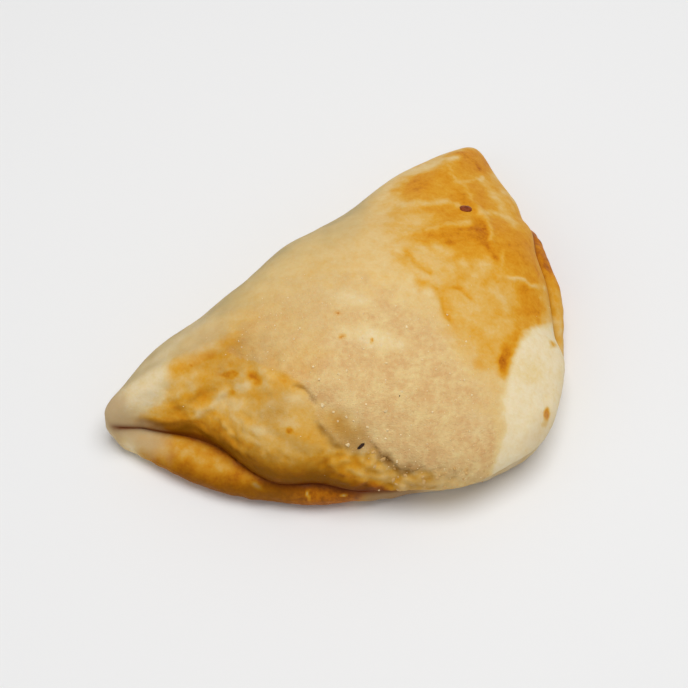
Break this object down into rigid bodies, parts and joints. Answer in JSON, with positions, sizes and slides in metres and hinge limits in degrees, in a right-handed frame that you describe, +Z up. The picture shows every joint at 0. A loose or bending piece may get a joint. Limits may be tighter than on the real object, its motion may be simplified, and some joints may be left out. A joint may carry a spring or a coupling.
{
  "type": "turnover pastry",
  "caption": "Baked turnover: a soft rounded triangle of folded dough with a front lip, a grooved seam and a flat underside.",
  "frame": {"origin": "middle of the bounding box, on the flat underside", "axes": "+X to the right along the longest extent, +Y to the back, where the fold runs, +Z up, the shortest extent"},
  "size_m": [0.1402, 0.1312, 0.041],
  "materials": {
    "crust": "baked dough, matte and lightly sugared in the middle, glossy golden egg wash at the right and the back, pale at two corners"
  },
  "bodies": {
    "root": {"turnover": "crust"}
  },
  "joints": []
}
